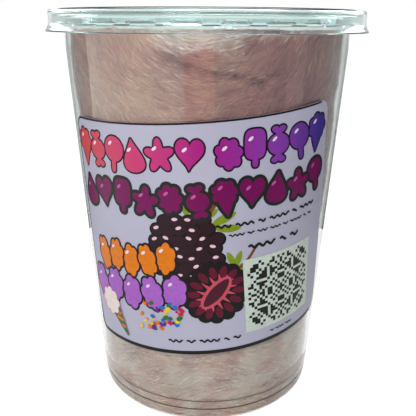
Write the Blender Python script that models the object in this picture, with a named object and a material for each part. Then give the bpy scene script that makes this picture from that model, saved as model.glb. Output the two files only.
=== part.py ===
"""A clear round tub of cotton candy, with its press-on lid and its front label.

Units are metres, with +Z up. The origin is the middle of the foot, on the surface that the
tub stands on, and the label faces -Y. The nodes are tub, lid, cotton_candy and label. Each
is one closed body, and each keeps a small gap to its neighbours.
"""

from math import atan2, cos, exp, hypot, pi, radians, sin, tan

import bmesh
import bpy

MM = 0.001

# The tub's wall: a cone with draft, a small step near the foot and a rolled rim on top.
DRAFT = radians(3.57)
WALL = 0.9 * MM
STEP_Z = 10.4 * MM
STEP_R = 44.3 * MM
STEP_IN = 0.25 * MM
FOOT_FILLET = 3.7 * MM
FOOT_RING_WIDTH = 2.2 * MM
UNDER_RECESS = 1.4 * MM
INSIDE_FILLET = 3.0 * MM
RIM_TOP = 147.6 * MM
RIM_R = 56.4 * MM
RIM_LIP_Z = 143.9 * MM
RIM_SHEET = 0.8 * MM
TUB_COLUMNS = 48

# The lid: a recessed panel, a plug wall inside the tub's mouth, a crown over the rim and a
# skirt that flares at its foot. Stacking lugs stand round the panel's edge.
LID_TOP = 148.8 * MM
LID_SHEET = 0.7 * MM
CROWN_R = 57.55 * MM
CROWN_ROUND = 1.0 * MM
WAIST_Z = 143.5 * MM
SKIRT_Z = 141.35 * MM
SKIRT_R = 59.0 * MM
PLUG_R = 51.35 * MM
PANEL_Z = 144.3 * MM
LUG_COUNT = 22
LUG_HEIGHT = 0.7 * MM
LUG_DEPTH = 2.4 * MM
LUG_ANGLE = radians(9.5)
LUG_FLANK = radians(0.45)
LUG_FIRST = radians(-6.75)

# The cotton candy: it fills the tub to just short of its wall, floor and lid.
CANDY_GAP_LOW = 0.4 * MM
CANDY_GAP_HIGH = 0.9 * MM
CANDY_GAP_ENDS = 0.4 * MM
CANDY_ROUND_LOW = 4.0 * MM
CANDY_ROUND_HIGH = 2.5 * MM
CANDY_COLUMNS = 48
CANDY_ROWS = 17
SWELL = 0.7 * MM

# Creases pressed into the candy's side: first end and last end as (degrees from the front,
# mm up), then depth and half width in mm.
CREASES = (
    ((-22, 136), (-10, 131), 2.2, 4.5),
    ((-10, 131), (4, 129), 1.8, 3.0),
    ((4, 129), (26, 125), 1.8, 3.0),
    ((26, 125), (38, 133), 1.4, 4.0),
    ((-52, 100), (-20, 128), 0.9, 4.0),
    ((70, 118), (112, 104), 1.6, 4.0),
    ((96, 60), (140, 82), 1.4, 4.5),
    ((150, 126), (196, 108), 2.0, 4.0),
    ((176, 70), (226, 48), 1.6, 4.5),
    ((220, 122), (262, 112), 1.8, 4.0),
    ((250, 40), (290, 72), 1.5, 4.0),
    ((40, 14), (88, 26), 1.2, 4.0),
)

# Hollows in the candy's top: azimuth in degrees, how far out it is centred, its half width
# round and across, and its depth, in mm.
TOP_HOLLOWS = (
    (-5, 50, 8.0, 14.0, 4.6),
    (14, 51, 26.0, 9.0, 1.8),
    (120, 28, 16.0, 12.0, 2.6),
    (215, 36, 12.0, 15.0, 3.0),
    (300, 22, 14.0, 10.0, 2.0),
)

# The label: a rounded rectangle wrapped on the cone, a little turned.
LABEL_W = 101.7 * MM
LABEL_H = 84.3 * MM
LABEL_CORNER = 4.0 * MM
LABEL_GAP = 0.3 * MM
LABEL_SHEET = 0.25 * MM
LABEL_MID_Z = 73.7 * MM
LABEL_MID_ANGLE = radians(-1.76)
LABEL_TURN = radians(4.39)
LABEL_COLUMNS = 20
LABEL_ROWS = 5


def wall_radius(z):
    """Outer radius of the wall at height z: a cone, set in below the step."""
    radius = STEP_R + tan(DRAFT) * (z - STEP_Z)
    return radius if z >= STEP_Z else radius - STEP_IN


def inner_radius(z):
    """Inner radius of the tub at height z."""
    return wall_radius(z) - WALL


def floor_z():
    """Height of the tub's floor inside."""
    return UNDER_RECESS + WALL


def arc(centre_r, centre_z, radius, start, stop, steps):
    """Points of an arc in the (radius, height) plane, angles in degrees from +radius."""
    angles = [radians(start + (stop - start) * i / steps) for i in range(steps + 1)]
    return [(centre_r + radius * cos(a), centre_z + radius * sin(a)) for a in angles]


def around(point, angle):
    """Place a (radius, height) point at an angle from the front, positive towards +X."""
    radius, z = point
    return (radius * sin(angle), -radius * cos(angle), z)


def closed_rings(rings, first_pole, last_pole):
    """Skin rings of equal length that start and end at a pole, as one closed mesh."""
    bm = bmesh.new()
    rows = [[bm.verts.new(p) for p in ring] for ring in rings]
    count = len(rows[0])
    for pole, row in ((first_pole, rows[0]), (last_pole, rows[-1])):
        tip = bm.verts.new(pole)
        for i in range(count):
            bm.faces.new((tip, row[i], row[(i + 1) % count]))
    for low, high in zip(rows, rows[1:]):
        for i in range(count):
            j = (i + 1) % count
            bm.faces.new((low[i], low[j], high[j], high[i]))
    bmesh.ops.recalc_face_normals(bm, faces=bm.faces)
    return bm


def finish(name, bm, material, sharp_degrees):
    """Turn a bmesh into a named, smoothly shaded object of the scene."""
    mesh = bpy.data.meshes.new(name)
    bm.to_mesh(mesh)
    bm.free()
    mesh.shade_smooth()
    mesh.set_sharp_from_angle(angle=radians(sharp_degrees))
    mesh.materials.append(material)
    thing = bpy.data.objects.new(name, mesh)
    bpy.context.scene.collection.objects.link(thing)
    return thing


def surface(name, colour, roughness, alpha=1.0):
    """A Principled material."""
    material = bpy.data.materials.new(name)
    material.use_nodes = True
    shader = material.node_tree.nodes["Principled BSDF"]
    shader.inputs["Base Color"].default_value = (*colour, 1.0)
    shader.inputs["Roughness"].default_value = roughness
    shader.inputs["Metallic"].default_value = 0.0
    shader.inputs["Alpha"].default_value = alpha
    return material


def tub_profile():
    """The tub's section from its underside's middle, up the outside, down the inside."""
    fillet_r = wall_radius(FOOT_FILLET) - FOOT_FILLET
    ring_in = fillet_r - FOOT_RING_WIDTH
    under = [
        (ring_in - UNDER_RECESS, UNDER_RECESS),
        (ring_in, 0.0),
    ]
    foot = arc(fillet_r, FOOT_FILLET, FOOT_FILLET, -90, 0, 4)
    step = [
        (wall_radius(STEP_Z) - STEP_IN, STEP_Z - 0.1 * MM),
        (wall_radius(STEP_Z), STEP_Z),
    ]
    web_z = RIM_TOP - RIM_SHEET
    rim = [
        (wall_radius(web_z) - 0.05 * MM, web_z - 0.8 * MM),
        (wall_radius(web_z) + 0.7 * MM, web_z),
        (RIM_R - RIM_SHEET - 0.3 * MM, web_z),
        (RIM_R - RIM_SHEET, web_z - 0.3 * MM),
        (RIM_R - RIM_SHEET, RIM_LIP_Z),
        (RIM_R, RIM_LIP_Z),
        (RIM_R, RIM_TOP - 0.6 * MM),
        (RIM_R - 0.6 * MM, RIM_TOP),
        (inner_radius(RIM_TOP) + 0.6 * MM, RIM_TOP),
        (inner_radius(RIM_TOP), RIM_TOP - 0.6 * MM),
    ]
    corner_z = floor_z() + INSIDE_FILLET
    inside_step = [
        (inner_radius(STEP_Z), STEP_Z),
        (inner_radius(STEP_Z) - STEP_IN, STEP_Z - 0.1 * MM),
    ]
    corner = arc(inner_radius(corner_z) - INSIDE_FILLET, corner_z, INSIDE_FILLET, 0, -90, 3)
    return under + foot + step + rim + inside_step + corner


def make_tub(material):
    """The thin-walled cup: its section turned round the Z axis."""
    angles = [2 * pi * i / TUB_COLUMNS for i in range(TUB_COLUMNS)]
    rings = [[around(p, a) for a in angles] for p in tub_profile()]
    bm = closed_rings(rings, (0, 0, UNDER_RECESS), (0, 0, floor_z()))
    return finish("tub", bm, material, 30)


def lid_columns():
    """The lid's angles, with each one's share of the lug height: 1 on a lug, 0 between."""
    half = LUG_ANGLE / 2
    pitch = 2 * pi / LUG_COUNT
    steps = ((-half, 1), (0.0, 1), (half, 1), (half + LUG_FLANK, 0), (pitch - half - LUG_FLANK, 0))
    return [(LUG_FIRST + pitch * i + step, up) for i in range(LUG_COUNT) for step, up in steps]


def lid_profile():
    """The lid's section from the panel's top, over the crown and skirt, back underneath.

    Each point is (radius, height, share of the lug height that is added there).
    """
    plug_in = PLUG_R - LID_SHEET
    crown_in = plug_in + 0.4 * MM
    under_crown = LID_TOP - LID_SHEET
    outer_round = arc(CROWN_R - CROWN_ROUND, LID_TOP - CROWN_ROUND, CROWN_ROUND, 90, 0, 3)
    inner_round = arc(
        CROWN_R - CROWN_ROUND, LID_TOP - CROWN_ROUND, CROWN_ROUND - LID_SHEET, 0, 90, 1
    )
    top = [
        (plug_in - LUG_DEPTH - 0.15 * MM, PANEL_Z, 0),
        (plug_in - LUG_DEPTH, PANEL_Z, 1),
        (plug_in, PANEL_Z, 1),
        (crown_in, LID_TOP - 0.5 * MM, 0),
        (crown_in + 0.5 * MM, LID_TOP, 0),
    ]
    skirt = [
        (CROWN_R, WAIST_Z, 0),
        (SKIRT_R, SKIRT_Z, 0),
        (SKIRT_R - LID_SHEET, SKIRT_Z, 0),
        (CROWN_R - LID_SHEET, WAIST_Z, 0),
    ]
    plug = [
        (crown_in + LID_SHEET + 0.3 * MM, under_crown, 0),
        (crown_in + LID_SHEET, under_crown - 0.4 * MM, 0),
        (PLUG_R, PANEL_Z, 0),
        (PLUG_R - 0.5 * MM, PANEL_Z - LID_SHEET, 0),
    ]
    outer = [(r, z, 0) for r, z in outer_round]
    inner = [(r, z, 0) for r, z in inner_round]
    return top + outer + skirt + inner + plug


def make_lid(material):
    """The thin lid, turned round the Z axis, with its lugs raised on the panel."""
    columns = lid_columns()
    rings = [
        [around((r, z + LUG_HEIGHT * share * up), angle) for angle, up in columns]
        for r, z, share in lid_profile()
    ]
    bm = closed_rings(rings, (0, 0, PANEL_Z), (0, 0, PANEL_Z - LID_SHEET))
    return finish("lid", bm, material, 30)


def crease_depth(angle, z):
    """Depth of the creases at a place on the candy's side, worked out on the unrolled wall."""
    depth = 0.0
    reach = inner_radius(z)
    for (a0, z0), (a1, z1), deep, half_width in CREASES:
        ax, az = radians(a0) * reach, z0 * MM
        bx, bz = radians(a1) * reach, z1 * MM
        turn = (angle - radians((a0 + a1) / 2) + pi) % (2 * pi) - pi
        px, pz = (turn + radians((a0 + a1) / 2)) * reach, z
        along = ((px - ax) * (bx - ax) + (pz - az) * (bz - az)) / ((bx - ax) ** 2 + (bz - az) ** 2)
        along = min(1.0, max(0.0, along))
        away = hypot(px - ax - along * (bx - ax), pz - az - along * (bz - az))
        depth += deep * MM * exp(-((away / (half_width * MM)) ** 2))
    return depth


def swell(angle, z):
    """A slow swelling of the candy's side, from none to SWELL."""
    wave = sin(3 * angle + z / (17 * MM)) * sin(5 * angle - z / (23 * MM))
    return SWELL * (1 + wave) / 2


def candy_radius(angle, z):
    """The candy's outer radius: the wall, less the gap, the swelling and the creases."""
    gap = CANDY_GAP_LOW + (CANDY_GAP_HIGH - CANDY_GAP_LOW) * z / RIM_TOP
    return inner_radius(z) - gap - swell(angle, z) - crease_depth(angle, z)


def top_sink(angle, radius):
    """How far the hollows lower the candy's top at a place."""
    x, y = radius * sin(angle), -radius * cos(angle)
    sink = 0.0
    for azimuth, out, round_width, across, deep in TOP_HOLLOWS:
        a = radians(azimuth)
        dx, dy = x - out * MM * sin(a), y + out * MM * cos(a)
        along = (dx * cos(a) + dy * sin(a)) / (round_width * MM)
        inward = (dx * sin(a) - dy * cos(a)) / (across * MM)
        sink += deep * MM * exp(-along * along - inward * inward)
    return sink


def candy_rings():
    """Rings from the candy's flat underside, up its side and in over its top."""
    low = floor_z() + CANDY_GAP_ENDS
    high = PANEL_Z - LID_SHEET - CANDY_GAP_ENDS
    angles = [2 * pi * i / CANDY_COLUMNS for i in range(CANDY_COLUMNS)]
    side_low = low + CANDY_ROUND_LOW
    side_high = high - CANDY_ROUND_HIGH
    rings = [[around((inner_radius(side_low) / 2, low), a) for a in angles]]
    for turn in (0, 30, 60):
        inset = CANDY_ROUND_LOW * (1 - sin(radians(turn)))
        lift = CANDY_ROUND_LOW * (1 - cos(radians(turn)))
        rings.append([around((candy_radius(a, side_low) - inset, low + lift), a) for a in angles])
    for i in range(CANDY_ROWS):
        z = side_low + (side_high - side_low) * i / (CANDY_ROWS - 1)
        ring = []
        for a in angles:
            radius = candy_radius(a, z)
            room = high - top_sink(a, radius) - CANDY_ROUND_HIGH
            ring.append(around((radius, side_low + (room - side_low) * i / (CANDY_ROWS - 1)), a))
        rings.append(ring)
    for turn, share in ((45, 1.0), (90, 1.0), (90, 0.78), (90, 0.52), (90, 0.26)):
        inset = CANDY_ROUND_HIGH * (1 - cos(radians(turn)))
        drop = CANDY_ROUND_HIGH * (1 - sin(radians(turn)))
        ring = []
        for a in angles:
            radius = share * (candy_radius(a, side_high) - inset)
            ring.append(around((radius, high - top_sink(a, radius) - drop), a))
        rings.append(ring)
    return rings, low, high


def make_candy(material):
    """The mass of spun sugar as one solid, out to its uneven outline."""
    rings, low, high = candy_rings()
    bm = closed_rings(rings, (0, 0, low), (0, 0, high - top_sink(0.0, 0.0)))
    return finish("cotton_candy", bm, material, 60)


def on_cone(u, v, out):
    """Wrap a label place onto the wall's cone.

    (u, v) is measured in the label's own plane from its middle. The cone unrolls to a flat
    fan, in which a distance from the fan's centre is a radius divided by the sine of the
    draft, and an angle is the angle round the tub times that sine.
    """
    x = cos(LABEL_TURN) * u - sin(LABEL_TURN) * v
    y = sin(LABEL_TURN) * u + cos(LABEL_TURN) * v
    fan = wall_radius(LABEL_MID_Z) / sin(DRAFT)
    reach = hypot(x, fan + y)
    angle = LABEL_MID_ANGLE + atan2(x, fan + y) / sin(DRAFT)
    radius = reach * sin(DRAFT)
    z = STEP_Z + (radius - STEP_R) / tan(DRAFT)
    return around((radius + out, z), angle)


def label_rows():
    """Heights and half widths of the label's rows, with the corners rounded."""
    straight = LABEL_H / 2 - LABEL_CORNER
    rows = [
        (straight + LABEL_CORNER * sin(radians(a)), LABEL_CORNER * (1 - cos(radians(a))))
        for a in (90, 60, 30)
    ]
    rows += [(straight - 2 * straight * i / LABEL_ROWS, 0.0) for i in range(LABEL_ROWS + 1)]
    rows += [(-v, inset) for v, inset in reversed(rows[:3])]
    return [(v, LABEL_W / 2 - inset) for v, inset in rows]


def make_label(material):
    """The label: a thin curved slab that stands just off the wall."""
    bm = bmesh.new()
    rows = []
    for v, half in label_rows():
        places = [half * (2 * i / LABEL_COLUMNS - 1) for i in range(LABEL_COLUMNS + 1)]
        inside = [bm.verts.new(on_cone(u, v, LABEL_GAP)) for u in places]
        outside = [bm.verts.new(on_cone(u, v, LABEL_GAP + LABEL_SHEET)) for u in places]
        rows.append((inside, outside))
    for high, low in zip(rows, rows[1:]):
        for i in range(LABEL_COLUMNS):
            for side in (0, 1):
                bm.faces.new((high[side][i], high[side][i + 1], low[side][i + 1], low[side][i]))
        for i in (0, LABEL_COLUMNS):
            bm.faces.new((high[0][i], high[1][i], low[1][i], low[0][i]))
    for inside, outside in (rows[0], rows[-1]):
        for i in range(LABEL_COLUMNS):
            bm.faces.new((inside[i], inside[i + 1], outside[i + 1], outside[i]))
    bmesh.ops.recalc_face_normals(bm, faces=bm.faces)
    return finish("label", bm, material, 40)


def main():
    """Clear the scene and build the four pieces."""
    for thing in list(bpy.data.objects):
        bpy.data.objects.remove(thing, do_unlink=True)
    make_tub(surface("tub_plastic", (0.82, 0.88, 0.86), 0.1, 0.3))
    make_lid(surface("lid_plastic", (0.80, 0.88, 0.88), 0.1, 0.3))
    make_candy(surface("spun_sugar", (0.47, 0.33, 0.31), 0.9))
    make_label(surface("label_paper", (0.66, 0.60, 0.72), 0.5))


main()
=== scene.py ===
"""Looks of a clear tub of cotton candy: the plastic, the spun sugar and the printed label.

The shapes are numpy surfaces in millimetres, put in place by their own points. Azimuths run
from the front (-Y) towards +X. The spun sugar is a pressed core under a coat of fine fibres
that follow one flow over its surface. The label's print is thin sheets of ink on its paper.
"""

import bpy
import numpy as np
from mathutils import Matrix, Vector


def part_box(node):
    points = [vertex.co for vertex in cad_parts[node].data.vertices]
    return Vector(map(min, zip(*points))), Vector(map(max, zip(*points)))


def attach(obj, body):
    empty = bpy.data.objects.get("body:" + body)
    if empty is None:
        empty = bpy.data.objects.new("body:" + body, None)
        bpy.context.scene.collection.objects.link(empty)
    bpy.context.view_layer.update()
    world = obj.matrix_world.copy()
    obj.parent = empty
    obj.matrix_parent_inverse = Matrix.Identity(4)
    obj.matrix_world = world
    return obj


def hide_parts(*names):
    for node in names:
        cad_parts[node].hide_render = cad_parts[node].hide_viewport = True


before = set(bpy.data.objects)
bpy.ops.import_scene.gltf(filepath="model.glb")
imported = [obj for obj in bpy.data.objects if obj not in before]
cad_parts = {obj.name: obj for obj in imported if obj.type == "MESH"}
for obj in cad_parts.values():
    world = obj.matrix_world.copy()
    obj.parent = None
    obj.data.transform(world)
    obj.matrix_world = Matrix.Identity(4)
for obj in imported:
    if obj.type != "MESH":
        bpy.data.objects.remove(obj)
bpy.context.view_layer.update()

MM = 0.001
TAU = 2 * np.pi


def node_size(node, axis, end):
    """One corner coordinate of a CAD node's box, in millimetres."""
    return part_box(node)[end][axis] / MM


# Heights and radii that come from the frame.
LID_TOP = node_size("lid", 2, 1)
SKIRT_Z = node_size("lid", 2, 0)
SKIRT_R = node_size("lid", 0, 1)
RIM_TOP = node_size("tub", 2, 1)
RIM_R = node_size("tub", 0, 1)
CANDY_HIGH = node_size("cotton_candy", 2, 1)

# The tub's cone, with its step, foot and rim.
SLOPE = np.tan(np.radians(3.57))
WALL = 0.9
STEP_Z = 10.4
STEP_R = 44.3
STEP_IN = 0.25
FOOT_FILLET = 3.7
FOOT_RING = 2.2
FOOT_IN = 36.0
UNDER_RECESS = 1.4
FLOOR_Z = UNDER_RECESS + WALL
INSIDE_FILLET = FOOT_FILLET - WALL
FOOT_LINE_Z = 6.6
FOOT_LINE_IN = 0.25
# Height of each dark hoop of painted shade at the foot.
FOOT_SHADE_TALL = 0.34
MID_R = 48.0

# The lid.
LID_SHEET = 0.7
CROWN_R = 57.55
WAIST_Z = 143.5
PLUG_R = 51.35
PANEL_Z = 144.3
LUG_COUNT = 22
LUG_HEIGHT = 0.7
LUG_DEPTH = 2.4
LUG_HALF = np.radians(4.75)
LUG_FIRST = np.radians(-6.75)
MARK_AZIMUTH = 37.4
MARK_Z = 144.6

# The label.
LABEL_W = 101.7
LABEL_H = 84.3
LABEL_CORNER = 4.0
LABEL_OUT = 0.3
LABEL_SHEET = 0.25
LABEL_MID_Z = 73.7
LABEL_MID_ANGLE = np.radians(-1.76)
LABEL_TURN = np.radians(4.39)
INK = 0.02

# The spun sugar's fibres.
FIBRE_HALF = 0.042
FIBRE_STEPS = 3
LOCK_SIZE = 6
SIDE_LOCKS = 37000
TOP_LOCKS = 4000
MOST_FIBRES = 48000
LOCK_TONE = 0.8


# ---------------------------------------------------------------- meshes from arrays


def wall_radius(z):
    """Outer radius of the tub's wall at height z: a cone, set in a little below the step."""
    return STEP_R + SLOPE * (z - STEP_Z) - np.where(z < STEP_Z, STEP_IN, 0.0)


def around(radius, angle, z):
    """Points at a radius and an azimuth, as an array with x, y, z last."""
    radius, angle, z = np.broadcast_arrays(radius, angle, z)
    return np.stack([radius * np.sin(angle), -radius * np.cos(angle), z], axis=-1)


def grid_quads(rows, columns, closed):
    """Quads between neighbouring points of a rows by columns grid; closed joins its ends."""
    r, c = np.meshgrid(np.arange(rows - 1), np.arange(columns - (not closed)), indexing="ij")
    n = (c + 1) % columns
    return np.stack([r * columns + c, r * columns + n, (r + 1) * columns + n,
                     (r + 1) * columns + c], axis=-1).reshape(-1, 4)


def piece(name, points, quads, finish, tris=None, uv=None, tint=None, sharp=None):
    """A finished piece: points in millimetres, quads and triangles as rows of indices.

    uv holds one place per point and tint one linear colour per point.
    """
    corners = [np.asarray(quads).reshape(-1)]
    sizes = [np.full(len(quads), 4)]
    if tris is not None:
        corners.append(np.asarray(tris).reshape(-1))
        sizes.append(np.full(len(tris), 3))
    corners, sizes = np.concatenate(corners).astype(np.int32), np.concatenate(sizes)
    mesh = bpy.data.meshes.new(name)
    mesh.vertices.add(len(points))
    mesh.vertices.foreach_set("co", (np.asarray(points, np.float64) * MM).ravel())
    mesh.loops.add(len(corners))
    mesh.loops.foreach_set("vertex_index", corners)
    mesh.polygons.add(len(sizes))
    mesh.polygons.foreach_set("loop_start", (np.cumsum(sizes) - sizes).astype(np.int32))
    mesh.update(calc_edges=True)
    if uv is not None:
        layer = mesh.uv_layers.new(name="place")
        layer.data.foreach_set("uv", np.asarray(uv)[corners].astype(np.float32).ravel())
    if tint is not None:
        colour = np.concatenate([tint, np.ones((len(tint), 1))], axis=1)
        layer = mesh.color_attributes.new("tint", "FLOAT_COLOR", "POINT")
        layer.data.foreach_set("color", colour.astype(np.float32).ravel())
    mesh.shade_smooth()
    if sharp:
        mesh.set_sharp_from_angle(angle=np.radians(sharp))
    mesh.materials.append(finish)
    thing = bpy.data.objects.new(name, mesh)
    bpy.context.scene.collection.objects.link(thing)
    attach(thing, "root")
    return thing


def rounded(corners, radii, steps=5):
    """A polyline with its corners rounded.

    Each corner gives way to a quadratic curve between the two points that lie its radius
    away from it along its sides.
    """
    corners = np.asarray(corners, float)
    path = [corners[:1]]
    t = np.linspace(0, 1, steps)[:, None]
    for before, here, after, radius in zip(corners, corners[1:], corners[2:], radii):
        if radius == 0:
            path.append(here[None])
            continue
        a = here + (before - here) * radius / np.linalg.norm(before - here)
        b = here + (after - here) * radius / np.linalg.norm(after - here)
        path.append((1 - t) ** 2 * a + 2 * t * (1 - t) * here + t * t * b)
    path.append(corners[-1:])
    return np.concatenate(path)


def closed_turn(grid):
    """Close a grid whose rows are rings: each end ring is joined to a tip at its middle.

    Returns points, quads and the triangles of both ends.
    """
    rows, columns, _ = grid.shape
    ends = np.stack([grid[0].mean(axis=0), grid[-1].mean(axis=0)])
    points = np.concatenate([grid.reshape(-1, 3), ends])
    c = np.arange(columns)
    n = (c + 1) % columns
    first = np.stack([np.full(columns, rows * columns), n, c], axis=-1)
    base = (rows - 1) * columns
    last = np.stack([np.full(columns, rows * columns + 1), base + c, base + n], axis=-1)
    return points, grid_quads(rows, columns, True), np.concatenate([first, last])


# ---------------------------------------------------------------- shader expressions


class Value:
    """A node socket that takes part in Python sums: each operator adds its Math node."""

    def __init__(self, socket):
        self.socket = socket

    def math(self, operation, *others):
        """One Math node on this value and others."""
        return node(self, "ShaderNodeMath", {"operation": operation}, {0: self, **{
            i + 1: other for i, other in enumerate(others)}})

    def __add__(self, other):
        return self.math("ADD", other)

    def __mul__(self, other):
        return self.math("MULTIPLY", other)

    __radd__ = __add__
    __rmul__ = __mul__

    def clamp(self, low, high):
        """This value moved from low..high to 0..1 and held there, with a smooth start and end."""
        return node(self, "ShaderNodeMapRange", {"interpolation_type": "SMOOTHSTEP"},
                    {0: self, 1: low, 2: high, 3: 0.0, 4: 1.0})


def node(owner, kind, settings=None, sockets=None, output=0):
    """Add a node of a kind, set its settings, then its sockets' values or links."""
    tree = owner.socket.id_data if isinstance(owner, Value) else owner
    new = tree.nodes.new(kind)
    for key, value in (settings or {}).items():
        if key == "ramp":
            ramp = new.color_ramp
            for place, colour in value[2:]:
                ramp.elements.new(place)
            for element, (place, colour) in zip(ramp.elements, sorted(value)):
                element.position, element.color = place, (*colour, 1.0)
        else:
            setattr(new, key, value)
    for key, value in (sockets or {}).items():
        if isinstance(value, Value):
            tree.links.new(value.socket, new.inputs[key])
        elif isinstance(value, tuple) and len(value) == 3 and new.inputs[key].type == "RGBA":
            new.inputs[key].default_value = (*value, 1.0)
        else:
            new.inputs[key].default_value = value
    return Value(new.outputs[output])


def mix(share, first, second):
    """Colour mix of first and second by share."""
    owner = next(v for v in (share, first, second) if isinstance(v, Value))
    return node(owner, "ShaderNodeMix", {"data_type": "RGBA"}, {0: share, 6: first, 7: second}, 2)


def noise(tree, where, scale, detail):
    """Noise pattern on a place, about 0 to 1."""
    return node(tree, "ShaderNodeTexNoise", {},
                {"Vector": where, "Scale": scale, "Detail": detail, "Roughness": 0.5})


def object_place(tree):
    """The piece's own coordinates, in metres."""
    return node(tree, "ShaderNodeTexCoord", {}, {}, 3)


def stretched(tree, where, scale):
    """Coordinates stretched by a scale along each axis."""
    return node(tree, "ShaderNodeMapping", {}, {"Vector": where, "Scale": scale})


def new_material(name):
    """An empty node material and its output."""
    material = bpy.data.materials.new(name)
    material.use_nodes = True
    tree = material.node_tree
    tree.nodes.clear()
    return material, tree, tree.nodes.new("ShaderNodeOutputMaterial")


def linear(red, green, blue):
    """An sRGB colour of 0 to 255 as linear light."""
    c = np.array([red, green, blue]) / 255
    return tuple(float(v) for v in np.where(c <= 0.04045, c / 12.92, ((c + 0.055) / 1.055) ** 2.4))


def principled(tree, output, sockets):
    """A Principled shader on the output."""
    shader = node(tree, "ShaderNodeBsdfPrincipled", {}, sockets)
    tree.links.new(shader.socket, output.inputs["Surface"])


# ---------------------------------------------------------------- finishes


def clear_plastic(name, tint, absorb, density, roughness):
    """Clear moulded plastic: glass of its real thickness that lets lamps through.

    The surface is smooth with a faint ripple, and the wall's body takes a little red and
    blue light away, which shows only where it is seen edge on.
    """
    material, tree, output = new_material(name)
    place = object_place(tree)
    ripple = noise(tree, stretched(tree, place, (1.0, 1.0, 0.35)), 60.0, 2.0)
    normal = node(tree, "ShaderNodeBump", {}, {"Strength": 0.02, "Distance": 0.002, "Height": ripple})
    glass = node(tree, "ShaderNodeBsdfPrincipled", {}, {
        "Base Color": tint, "Roughness": roughness, "IOR": 1.49, "Transmission Weight": 1.0,
        "Normal": normal})
    through = node(tree, "ShaderNodeBsdfTransparent", {}, {"Color": (1.0, 1.0, 1.0)})
    path = tree.nodes.new("ShaderNodeLightPath")
    lamp = Value(path.outputs["Is Shadow Ray"]).math("MAXIMUM", Value(path.outputs["Is Diffuse Ray"]))
    both = node(tree, "ShaderNodeMixShader", {}, {0: lamp, 1: glass, 2: through})
    tree.links.new(both.socket, output.inputs["Surface"])
    body = node(tree, "ShaderNodeVolumeAbsorption", {}, {"Color": absorb, "Density": density})
    tree.links.new(body.socket, output.inputs["Volume"])
    return material


def moulded(name, colour, roughness):
    """Opaque moulded plastic of one colour, with a faint cloud in it; it also makes the dark hoops of
    painted shade at the foot.
    """
    material, tree, output = new_material(name)
    cloud = noise(tree, object_place(tree), 300.0, 2.0).clamp(0.3, 0.7)
    darker = tuple(0.85 * c for c in colour)
    principled(tree, output, {"Base Color": mix(cloud, darker, colour), "Roughness": roughness})
    return material


def sugar_fibre(name, colour, darker):
    """Spun sugar drawn into fibres: a soft sheen, and a slow drift between two near tones."""
    material, tree, output = new_material(name)
    drift = noise(tree, object_place(tree), 130.0, 2.0).clamp(0.25, 0.6)
    principled(tree, output, {
        "Base Color": mix(drift, darker, colour), "Roughness": 0.55,
        "Specular IOR Level": 0.3, "Sheen Weight": 0.12, "Sheen Roughness": 0.4})
    return material


def sugar_core(name):
    """The pressed mass under the fibres: its painted tone, which holds the tone shares' painted light and
    shade, with a fine mottle.
    """
    material, tree, output = new_material(name)
    painted = node(tree, "ShaderNodeAttribute", {"attribute_name": "tint"})
    fine = noise(tree, object_place(tree), 900.0, 3.0).clamp(0.3, 0.7)
    shade = node(tree, "ShaderNodeMix", {"data_type": "RGBA", "blend_type": "MULTIPLY"},
                 {0: 0.25 * fine, 6: painted, 7: (0.7, 0.62, 0.62)}, 2)
    normal = node(tree, "ShaderNodeBump", {}, {"Strength": 0.3, "Distance": 0.0003, "Height": fine})
    principled(tree, output, {"Base Color": shade, "Roughness": 0.7, "Specular IOR Level": 0.3,
                              "Normal": normal})
    return material


def paper(name, colour):
    """Semi-gloss label paper with a faint uneven tone."""
    material, tree, output = new_material(name)
    cloud = noise(tree, object_place(tree), 45.0, 2.0).clamp(0.3, 0.7)
    pale = tuple(min(1.0, c * 1.04) for c in colour)
    principled(tree, output, {"Base Color": mix(cloud, colour, pale), "Roughness": 0.5,
                              "Specular IOR Level": 0.35})
    return material


def ink(name, colour):
    """Printed ink: one colour with the slight unevenness of a small press."""
    material, tree, output = new_material(name)
    grain = noise(tree, object_place(tree), 700.0, 2.0).clamp(0.3, 0.7)
    dark = tuple(0.88 * c for c in colour)
    principled(tree, output, {"Base Color": mix(grain, dark, colour), "Roughness": 0.4,
                              "Specular IOR Level": 0.2})
    return material


def graded_ink(name, stops):
    """Printed ink that runs through several colours across the label."""
    material, tree, output = new_material(name)
    across = node(tree, "ShaderNodeSeparateXYZ", {}, {0: node(tree, "ShaderNodeTexCoord", {}, {}, 2)})
    ramp = node(tree, "ShaderNodeValToRGB", {"ramp": stops}, {0: across})
    grain = noise(tree, object_place(tree), 700.0, 2.0).clamp(0.3, 0.7)
    shade = node(tree, "ShaderNodeMix", {"data_type": "RGBA", "blend_type": "MULTIPLY"},
                 {0: 0.2 * grain, 6: ramp, 7: (0.7, 0.7, 0.7)}, 2)
    principled(tree, output, {"Base Color": shade, "Roughness": 0.4, "Specular IOR Level": 0.2})
    return material


# ---------------------------------------------------------------- the tub and the lid


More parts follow.
